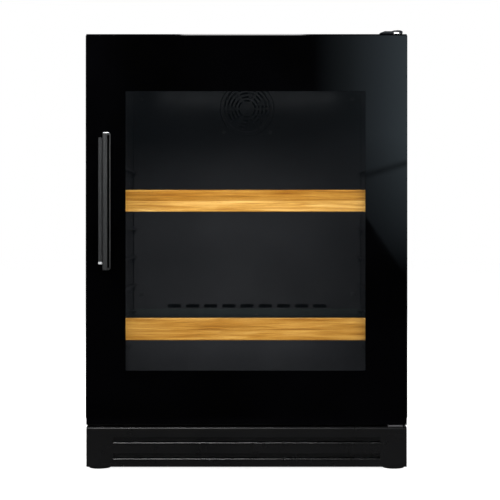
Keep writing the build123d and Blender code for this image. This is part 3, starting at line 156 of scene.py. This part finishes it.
def between(tree, axis, low, high):
    """1 where the object's coordinate along axis lies between low and high, else 0."""
    where = add(tree, "ShaderNodeSeparateXYZ")
    tree.links.new(object_coordinates(tree), where.inputs["Vector"])
    tests = []
    for operation, limit in (("GREATER_THAN", low), ("LESS_THAN", high)):
        test = add(tree, "ShaderNodeMath", operation=operation)
        tree.links.new(where.outputs[axis], test.inputs[0])
        test.inputs[1].default_value = limit
        tests.append(test.outputs[0])
    both = add(tree, "ShaderNodeMath", operation="MULTIPLY")
    for socket, test in zip(both.inputs, tests):
        tree.links.new(test, socket)
    return both.outputs[0]


def shade(colour, factor):
    return tuple(min(1.0, channel * factor) for channel in colour)


def coated(name, colour, roughness, metallic=0.0, grain=900.0, relief=0.00003):
    """Paint, plastic, rubber or metal: slight mottling, uneven gloss and a fine surface grain."""
    material, tree, shader = new_material(name)
    plain = object_coordinates(tree)
    patches = noise(tree, plain, 9.0, detail=4.0)
    mottled = ramp(tree, patches, [(0.3, shade(colour, 0.85)), (0.7, shade(colour, 1.15))])
    tree.links.new(mottled, shader.inputs["Base Color"])
    smears = noise(tree, plain, 28.0, detail=5.0)
    gloss = spread(tree, smears, roughness * 0.88, min(1.0, roughness * 1.14))
    tree.links.new(gloss, shader.inputs["Roughness"])
    bump(tree, shader, noise(tree, plain, grain, detail=2.0), 0.35, relief)
    shader.inputs["Metallic"].default_value = metallic
    return material


def enamel_glass():
    """The border of the front glass: black enamel behind polished glass."""
    material, tree, shader = new_material("black_enamel_glass")
    plain = object_coordinates(tree)
    depth = noise(tree, plain, 5.0, detail=3.0)
    colour = ramp(tree, depth, [(0.3, (0.0001, 0.0001, 0.0001)), (0.7, (0.0003, 0.0003, 0.0004))])
    tree.links.new(colour, shader.inputs["Base Color"])
    wipe = noise(tree, object_coordinates(tree, (1, 1, 0.25)), 30.0, detail=6.0)
    tree.links.new(spread(tree, wipe, 0.02, 0.05), shader.inputs["Roughness"])
    wave = noise(tree, plain, 2.5, detail=1.0)
    bump(tree, shader, wave, 0.08, 0.0004)
    return material


def see_through(name, tint, alpha, roughness):
    """Thin glass: mostly open, with a surface gloss."""
    material, tree, shader = new_material(name)
    plain = object_coordinates(tree)
    streaks = noise(tree, plain, 14.0, detail=4.0)
    tree.links.new(
        ramp(tree, streaks, [(0.3, shade(tint, 0.92)), (0.7, shade(tint, 1.06))]),
        shader.inputs["Base Color"],
    )
    tree.links.new(spread(tree, streaks, roughness, roughness * 1.6), shader.inputs["Roughness"])
    shader.inputs["Alpha"].default_value = alpha
    return material


def oak():
    """Light oak, oiled. The grain runs along X, and the glued strips differ in tone."""
    material, tree, shader = new_material("oiled_oak")
    along = object_coordinates(tree, (1.6, 18.0, 55.0))
    streaks = noise(tree, along, 4.0, detail=7.0, roughness=0.68, distortion=0.7)
    broad = noise(tree, object_coordinates(tree, (1.0, 9.0, 14.0)), 3.0, detail=2.0, distortion=0.5)
    pores = noise(tree, object_coordinates(tree, (3.0, 120.0, 170.0)), 8.0, detail=3.0)
    base = ramp(
        tree,
        streaks,
        [(0.32, (0.29, 0.120, 0.016)), (0.48, (0.49, 0.260, 0.050)), (0.66, (0.74, 0.470, 0.150))],
    )
    patches = ramp(tree, broad, [(0.35, (0.86, 0.80, 0.70)), (0.65, (1.08, 1.08, 1.10))])
    specks = ramp(tree, pores, [(0.36, (0.62, 0.50, 0.34)), (0.47, (1.0, 1.0, 1.0))])
    grained = multiply(tree, multiply(tree, base, patches, 0.9), specks, 0.6)
    # In the upper shelf the strip above the glue line is darker than the one below it.
    low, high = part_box("shelf_front_upper")
    glue_line = (low.z + high.z) / 2
    upper_strip = between(tree, "Z", glue_line, high.z + FACE_MARGIN)
    toned = multiply(tree, grained, (0.66, 0.56, 0.34), upper_strip)
    # The lower shelf is one tone, a little darker than the upper shelf's lighter strip.
    lower_shelf = between(tree, "Z", 0.0, low.z - FACE_MARGIN)
    toned = multiply(tree, toned, (0.76, 0.70, 0.55), lower_shelf)
    tree.links.new(toned, shader.inputs["Base Color"])
    tree.links.new(spread(tree, streaks, 0.42, 0.55), shader.inputs["Roughness"])
    bump(tree, shader, pores, 0.30, 0.0002)
    return material


def spangled_zinc():
    """Galvanised sheet: large faint crystals with a slightly different gloss each."""
    material, tree, shader = new_material("galvanised_sheet")
    crystals = add(tree, "ShaderNodeTexVoronoi")
    crystals.inputs["Scale"].default_value = 70.0
    tree.links.new(object_coordinates(tree), crystals.inputs["Vector"])
    value = add(tree, "ShaderNodeSeparateColor")
    tree.links.new(crystals.outputs["Color"], value.inputs["Color"])
    colour = ramp(tree, value.outputs[0], [(0.0, (0.42, 0.43, 0.44)), (1.0, (0.60, 0.61, 0.62))])
    tree.links.new(colour, shader.inputs["Base Color"])
    tree.links.new(spread(tree, value.outputs[1], 0.30, 0.48, 0.0, 1.0), shader.inputs["Roughness"])
    shader.inputs["Metallic"].default_value = 0.9
    bump(tree, shader, noise(tree, object_coordinates(tree), 320.0), 0.15, 0.00005)
    return material


def brushed(name, colour, roughness, along, metallic=1.0, depth=0.4):
    """Metal brushed along one axis, so its scratches are long that way and fine across it."""
    stretch = [60.0, 60.0, 60.0]
    stretch["XYZ".index(along)] = 0.6
    material, tree, shader = new_material(name)
    lines = noise(tree, object_coordinates(tree, stretch), 28.0, detail=5.0, roughness=0.7)
    tree.links.new(
        ramp(tree, lines, [(0.25, shade(colour, 0.75)), (0.75, shade(colour, 1.25))]),
        shader.inputs["Base Color"],
    )
    tree.links.new(spread(tree, lines, roughness * 0.8, roughness * 1.25), shader.inputs["Roughness"])
    shader.inputs["Metallic"].default_value = metallic
    bump(tree, shader, lines, depth, 0.00004)
    return material


def handle_finish(name, painted_end_highlight):
    """Dark brushed metal with a vertical grain. Behind the front face it is painted near black, as painted
    shade in the groove and on the sides; the base rail's lower end facet can be painted pale as a painted
    highlight.
    """
    material, tree, shader = new_material(name)
    lines = noise(tree, object_coordinates(tree, (60.0, 60.0, 0.6)), 28.0, detail=5.0, roughness=0.7)
    metal = ramp(tree, lines, [(0.25, (0.13, 0.133, 0.136)), (0.75, (0.22, 0.225, 0.23))])
    low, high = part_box("handle_grip")
    # Faces deeper than the front face are darkened to near black: painted shade in the groove and on the
    # sides.
    painted_shade_behind = between(tree, "Y", low.y + HANDLE_FACE_DEPTH, high.y)
    colour = multiply(tree, metal, (0.03, 0.03, 0.03), painted_shade_behind)
    metallic = 0.955
    if painted_end_highlight:
        # The base rail's lower end is cut at an angle. Its facet is painted pale grey and not metallic: a
        # painted highlight, standing in for light caught from below.
        low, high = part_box("handle_base")
        end_highlight_mask = between(tree, "Z", low.z - FACE_MARGIN, low.z + HANDLE_END_FACET)
        colour = mix(tree, metal, (0.34, 0.345, 0.35), end_highlight_mask)
        tree.links.new(spread(tree, end_highlight_mask, metallic, 0.0, 0.0, 1.0), shader.inputs["Metallic"])
    else:
        shader.inputs["Metallic"].default_value = metallic
    tree.links.new(colour, shader.inputs["Base Color"])
    tree.links.new(spread(tree, lines, 0.24, 0.34), shader.inputs["Roughness"])
    bump(tree, shader, lines, 0.3, 0.00004)
    return material


def painted_edge_highlight_steel():
    """Black plate whose front edge is painted pale: a painted highlight along the sheared edge."""
    material, tree, shader = new_material("painted_edge_highlight_steel")
    lines = noise(tree, object_coordinates(tree, (1.0, 60.0, 60.0)), 28.0, detail=4.0)
    black = ramp(tree, lines, [(0.3, (0.017, 0.017, 0.018)), (0.7, (0.023, 0.023, 0.024))])
    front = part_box("top_hinge_bracket")[0].y
    # A thin band at the front edge is painted pale grey, a painted highlight.
    highlight_band_depth = 0.0004
    edge = between(tree, "Y", front - FACE_MARGIN, front + highlight_band_depth)
    tree.links.new(mix(tree, black, (0.72, 0.72, 0.72), edge), shader.inputs["Base Color"])
    tree.links.new(spread(tree, lines, 0.36, 0.46), shader.inputs["Roughness"])
    bump(tree, shader, lines, 0.3, 0.00003)
    return material


def glowing(name, colour, strength):
    material, tree, shader = new_material(name)
    patches = noise(tree, object_coordinates(tree), 40.0)
    tint = ramp(tree, patches, [(0.3, shade(colour, 0.95)), (0.7, colour)])
    tree.links.new(tint, shader.inputs["Base Color"])
    tree.links.new(tint, shader.inputs["Emission Color"])
    shader.inputs["Emission Strength"].default_value = strength
    shader.inputs["Roughness"].default_value = 0.35
    return material


MATERIALS = {
    "cabinet_paint": coated("cabinet_powder_coat", (0.012, 0.012, 0.013), 0.42, grain=700, relief=0.00006),
    "plinth_paint": coated("plinth_powder_coat", (0.0021, 0.0021, 0.0022), 0.29, grain=800, relief=0.000004),
    "galvanised": spangled_zinc(),
    "liner_plastic": coated("liner_moulding", (0.019, 0.0195, 0.0210), 0.22, grain=400, relief=0.00002),
    "foam": coated("foam_block", (0.62, 0.52, 0.26), 0.9, grain=300, relief=0.0004),
    "black_plastic": coated("grained_plastic", (0.0065, 0.0065, 0.007), 0.45, grain=1400, relief=0.00005),
    "gloss_black_plastic": coated("gloss_plastic", (0.004, 0.004, 0.0045), 0.16, grain=300, relief=0.00001),
    "clear_glass": see_through("clear_float_glass", (0.035, 0.055, 0.048), 0.22, 0.03),
    "spacer_metal": brushed("spacer_bar", (0.02, 0.02, 0.02), 0.4, "X", metallic=0.6),
    "gasket_rubber": coated("gasket_rubber", (0.010, 0.010, 0.011), 0.62, grain=500, relief=0.00005),
    # The grip's faces behind its front are painted near black as painted shade.
    "handle_metal": handle_finish("handle_grip_metal", False),
    "hinge_steel": coated("hinge_black_steel", (0.02, 0.02, 0.021), 0.38, metallic=0.4, grain=900),
    "bright_steel": brushed("zinc_plated_steel", (0.68, 0.68, 0.69), 0.28, "Z", metallic=0.6),
    "bush_plastic": coated("bearing_plastic", (0.60, 0.60, 0.56), 0.45),
    "oak": oak(),
    "copper": coated("copper_tube", (0.72, 0.30, 0.16), 0.28, metallic=1.0, grain=500),
    "compressor_paint": coated("compressor_enamel", (0.007, 0.007, 0.008), 0.22, grain=200, relief=0.00008),
    "fin_aluminium": brushed("fin_aluminium", (0.66, 0.67, 0.68), 0.34, "Z"),
    "board": coated("circuit_board", (0.010, 0.085, 0.030), 0.4, grain=600, relief=0.0001),
    "lamp_plastic": glowing("lamp_diffuser", (0.88, 0.94, 1.0), 0.6),
    "grommet_rubber": coated("grommet_rubber", (0.012, 0.012, 0.012), 0.7, grain=400, relief=0.0001),
    "drain_plastic": coated("drain_moulding", (0.25, 0.26, 0.27), 0.5, grain=500),
}
ENAMEL_GLASS = enamel_glass()
WINDOW_GLASS = see_through("tinted_window_glass", (0.002, 0.002, 0.003), 0.10, 0.02)
PANE_GLASS = see_through("low_iron_pane_glass", (0.004, 0.006, 0.006), 0.03, 0.02)
# The base rail's lower end facet carries a painted highlight.
HANDLE_BASE_METAL = handle_finish("handle_base_metal", True)
LOWER_HINGE_STEEL = brushed("phosphated_steel", (0.10, 0.10, 0.105), 0.40, "X", metallic=0.5)
GLOSS_TRIM = coated("gloss_trim", (0.0003, 0.0003, 0.0004), 0.08, grain=300, relief=0.000004)


def paint(obj, *materials):
    """Gives obj these materials in place of any it has. Clearing an empty list would reset the faces."""
    if obj.data.materials:
        obj.data.materials.clear()
    for material in materials:
        obj.data.materials.append(material)


slot_of = {entry["node"]: entry["material_slot"] for entry in frame["record"]["subparts"]}
for name, obj in nodes.items():
    slot = slot_of[name]
    if slot in MATERIALS:
        paint(obj, MATERIALS[slot])
paint(nodes["door_panes"], PANE_GLASS)
paint(nodes["handle_base"], HANDLE_BASE_METAL)
# The top hinge bracket has a painted highlight along its front edge.
paint(nodes["top_hinge_bracket"], painted_edge_highlight_steel())
paint(nodes["bottom_hinge_bracket"], LOWER_HINGE_STEEL)
for name in ("door_cap_bottom", "door_cap_top"):
    paint(nodes[name], GLOSS_TRIM)
# Light goes through the panes as if they were open, so that the shelves are lit through the door.
for name in ("door_panes", "shelf_glass_upper", "shelf_glass_lower"):
    nodes[name].visible_shadow = False


# ---- Front glass --------------------------------------------------------------------------
def mesh_object(name, builder, body):
    """An object from builder's mesh. It rides on body, unless body is None."""
    data = bpy.data.meshes.new(name)
    builder.to_mesh(data)
    builder.free()
    obj = bpy.data.objects.new(name, data)
    bpy.context.scene.collection.objects.link(obj)
    if body:
        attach(obj, body)
    return obj


def rounded_outline(left, right, low, high, corner, steps):
    """Points (x, z) round a rectangle, counter-clockwise as the user sees it."""
    points = []
    centres = [
        (right - corner, low + corner, -90),
        (right - corner, high - corner, 0),
        (left + corner, high - corner, 90),
        (left + corner, low + corner, 180),
    ]
    for x, z, start in centres:
        for step in range(steps + 1):
            angle = math.radians(start + 90 * step / steps)
            points.append((x + corner * math.cos(angle), z + corner * math.sin(angle)))
    return points


def front_glass():
    """A plate with a ground edge. The window faces are clear and the border faces are enamelled."""
    grind = 0.0006
    knee = grind * 0.35
    corner, window_corner = 0.001, 0.0015
    steps = 6
    # How far the outline is drawn in at each depth, from the rear face to the front one.
    levels = [(GLASS_REAR, 0.0), (DOOR_FACE + grind, 0.0), (DOOR_FACE + knee, knee), (DOOR_FACE, grind)]
    builder = bmesh.new()
    rings = []
    for depth, inset in levels:
        sides = (GLASS_LOW.x + inset, GLASS_HIGH.x - inset)
        outline = rounded_outline(*sides, GLASS_LOW.z + inset, GLASS_HIGH.z - inset, corner, steps)
        rings.append([builder.verts.new((x, depth, z)) for x, z in outline])
    count = len(rings[0])
    for first, second in zip(rings, rings[1:]):
        for i in range(count):
            j = (i + 1) % count
            builder.faces.new((first[i], first[j], second[j], second[i]))
    for depth, ring in ((DOOR_FACE, rings[-1]), (GLASS_REAR, rings[0])):
        edges = (WINDOW_LEFT, WINDOW_RIGHT, WINDOW_LOW, WINDOW_HIGH)
        outline = rounded_outline(*edges, window_corner, steps)
        inner = [builder.verts.new((x, depth, z)) for x, z in outline]
        for i in range(count):
            j = (i + 1) % count
            builder.faces.new((ring[i], ring[j], inner[j], inner[i]))
        window = builder.faces.new(inner)
        window.material_index = 1
    bmesh.ops.recalc_face_normals(builder, faces=builder.faces[:])
    glass = mesh_object("front_glass_panel", builder, "door")
    paint(glass, ENAMEL_GLASS, WINDOW_GLASS)
    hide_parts("door_glass_front")
    glass.visible_shadow = False


front_glass()


# ---- Studio -------------------------------------------------------------------------------
def studio_floor():
    material, tree, shader = new_material("studio_floor")
    patches = noise(tree, object_coordinates(tree), 1.5)
    tree.links.new(
        ramp(tree, patches, [(0.3, (0.34, 0.34, 0.34)), (0.7, (0.36, 0.36, 0.36))]),
        shader.inputs["Base Color"],
    )
    shader.inputs["Roughness"].default_value = 0.8
    shader.inputs["Emission Color"].default_value = (1, 1, 1, 1)
    shader.inputs["Emission Strength"].default_value = 0.86
    builder = bmesh.new()
    bmesh.ops.create_circle(builder, cap_ends=True, segments=96, radius=14.0)
    floor = mesh_object("floor", builder, None)
    floor.location.z = -0.0005
    paint(floor, material)
    floor.visible_glossy = False


def reflection_board():
    """A dim board in front of the door, to the right. Only mirror reflections see it."""
    camera_x, camera_y, camera_z = CAMERA
    gap = 3.0
    board_y = DOOR_FACE - gap
    share = gap / (DOOR_FACE - camera_y)

    def mirrored(x, z):
        """Where the camera's ray that the door reflects at (x, z) meets the board."""
        return (x + (x - camera_x) * share, board_y, z + (z - camera_z) * share)

    # The lit field as it shows on the door. Its lower edge slants down towards the right.
    left, right, top = 0.125, 0.340, 0.860
    slant_left, slant_right = (0.219, 0.470), (0.297, 0.354)
    lower_edge = [(left, slant_left[1]), slant_left, slant_right, (right, slant_right[1])]
    outline = lower_edge + [(right, top), (left, top)]
    builder = bmesh.new()
    builder.faces.new([builder.verts.new(mirrored(x, z)) for x, z in outline])
    board = mesh_object("reflection_board", builder, None)
    material = bpy.data.materials.new("reflection_board")
    material.use_nodes = True
    tree = material.node_tree
    tree.nodes.clear()
    light = add(tree, "ShaderNodeEmission")
    out = add(tree, "ShaderNodeOutputMaterial")
    where = add(tree, "ShaderNodeSeparateXYZ")
    tree.links.new(object_coordinates(tree), where.inputs["Vector"])
    # It fades in from its left side, and upwards from its lower edge.
    full_x, dark_z, full_z = 0.300, 0.360, 0.620
    across = spread(tree, where.outputs["X"], 0.0, 1.0, mirrored(left, 0)[0], mirrored(full_x, 0)[0])
    upward = spread(tree, where.outputs["Z"], 0.0, 1.0, mirrored(0, dark_z)[2], mirrored(0, full_z)[2])
    colour = ramp(
        tree,
        across,
        [(0.0, (0, 0, 0)), (0.35, (0.16, 0.20, 0.22)), (0.7, (0.42, 0.52, 0.60)), (1.0, (0.70, 0.88, 1.0))],
    )
    tree.links.new(colour, light.inputs["Color"])
    # A soft dark line crosses the board, rising a little to the right.
    line_x, _, line_z = mirrored(0.256, 0.5547)
    slope = 0.30
    half_width = 0.020
    darkest = 0.30
    rise = add(tree, "ShaderNodeMath", operation="MULTIPLY_ADD")
    tree.links.new(where.outputs["X"], rise.inputs[0])
    rise.inputs[1].default_value = -slope
    rise.inputs[2].default_value = slope * line_x - line_z
    height = add(tree, "ShaderNodeMath", operation="ADD")
    tree.links.new(where.outputs["Z"], height.inputs[0])
    tree.links.new(rise.outputs[0], height.inputs[1])
    distance = add(tree, "ShaderNodeMath", operation="ABSOLUTE")
    tree.links.new(height.outputs[0], distance.inputs[0])
    line = spread(tree, distance.outputs[0], darkest, 1.0, 0.0, half_width)
    strength = add(tree, "ShaderNodeMath", operation="MULTIPLY")
    tree.links.new(upward, strength.inputs[0])
    tree.links.new(line, strength.inputs[1])
    tree.links.new(strength.outputs[0], light.inputs["Strength"])
    tree.links.new(light.outputs[0], out.inputs["Surface"])
    paint(board, material)
    board.visible_camera = False
    board.visible_diffuse = False
    board.visible_shadow = False
    board.visible_transmission = False


def area_light(name, place, target, size, power, colour=(1, 1, 1), glossy=True):
    data = bpy.data.lights.new(name, "AREA")
    data.shape = "RECTANGLE"
    data.size, data.size_y = size
    data.energy = power
    data.color = colour
    lamp = bpy.data.objects.new(name, data)
    lamp.location = place
    lamp.rotation_euler = (Vector(target) - Vector(place)).to_track_quat("-Z", "Y").to_euler()
    lamp.visible_camera = False
    lamp.visible_glossy = glossy
    bpy.context.scene.collection.objects.link(lamp)


def white_surround():
    """White to the eye, a soft grey to surfaces and black in mirror reflections."""
    world = bpy.data.worlds.new("studio")
    bpy.context.scene.world = world
    world.use_nodes = True
    tree = world.node_tree
    tree.nodes.clear()
    out = add(tree, "ShaderNodeOutputWorld")
    rays = add(tree, "ShaderNodeLightPath")
    seen = add(tree, "ShaderNodeBackground", Color=(1, 1, 1, 1), Strength=1.0)
    soft = add(tree, "ShaderNodeBackground", Color=(1, 1, 1, 1), Strength=0.45)
    dark = add(tree, "ShaderNodeBackground", Color=(0, 0, 0, 1), Strength=0.0)
    lit = add(tree, "ShaderNodeMixShader")
    both = add(tree, "ShaderNodeMixShader")
    tree.links.new(rays.outputs["Is Glossy Ray"], lit.inputs[0])
    tree.links.new(soft.outputs[0], lit.inputs[1])
    tree.links.new(dark.outputs[0], lit.inputs[2])
    tree.links.new(rays.outputs["Is Camera Ray"], both.inputs[0])
    tree.links.new(lit.outputs[0], both.inputs[1])
    tree.links.new(seen.outputs[0], both.inputs[2])
    tree.links.new(both.outputs[0], out.inputs["Surface"])


# A level camera, so uprights stay upright. The picture spans this much at the door's face.
PICTURE_WIDTH = 0.9245
PICTURE_MIDDLE = 0.4059
DISTANCE = 2.35
CAMERA = (0.0064, DOOR_FACE - DISTANCE, 0.450)
SENSOR = 36.0

lens = bpy.data.cameras.new("camera")
lens.sensor_width = SENSOR
lens.lens = SENSOR * DISTANCE / PICTURE_WIDTH
lens.shift_y = (PICTURE_MIDDLE - CAMERA[2]) / PICTURE_WIDTH
camera = bpy.data.objects.new("camera", lens)
camera.location = CAMERA
camera.rotation_euler = (math.radians(90), 0, 0)
bpy.context.scene.collection.objects.link(camera)
bpy.context.scene.camera = camera
bpy.context.scene.view_settings.view_transform = "Standard"

studio_floor()
reflection_board()
white_surround()
# These light the object, and mirror reflections don't see them.
area_light("key", (0.9, -2.6, 1.8), (0, 0, 0.45), (1.4, 1.4), 130, glossy=False)
area_light("fill", (-0.7, -2.8, 1.5), (0, 0, 0.4), (1.4, 1.4), 70, glossy=False)
area_light("low_right", (2.4, -1.5, 0.9), (-0.2, 0, 0.5), (0.8, 1.0), 40, glossy=False)
area_light("handle_light", (-0.45, -0.55, 0.80), (-0.26, -0.30, 0.58), (0.1, 0.1), 2.5, glossy=False)
# These show in mirror reflections too, some of them as bright lines along the object's edges.
area_light("rear", (0.5, 2.6, 2.2), (0, 0, 0.5), (2.0, 1.6), 60)
area_light("overhead", (-0.30, DOOR_FACE - 0.27, 2.0), (-0.30, DOOR_FACE - 0.1, 0.8), (0.70, 0.4), 40)
area_light("plinth_light", (-0.45, DOOR_FACE - 1.9, 2.0), (-0.20, DOOR_FACE, 0.1), (0.9, 1.1), 16)
area_light("top_edge_light", (-0.015, DOOR_FACE + 0.19, 2.0), (-0.015, DOOR_FACE, 0.8), (0.34, 0.16), 1.2)
area_light("side_strip", (2.2, DOOR_FACE - 0.05, 0.95), (0, DOOR_FACE, 0.6), (0.5, 1.0), 0.9)
cabin_lamp_place = (0, (LAMP_LOW.y + LAMP_HIGH.y) / 2, LAMP_LOW.z - 0.004)
area_light("cabin_lamp", cabin_lamp_place, (0, 0.02, 0.2), (0.42, 0.02), 0.05, (0.92, 0.96, 1.0))
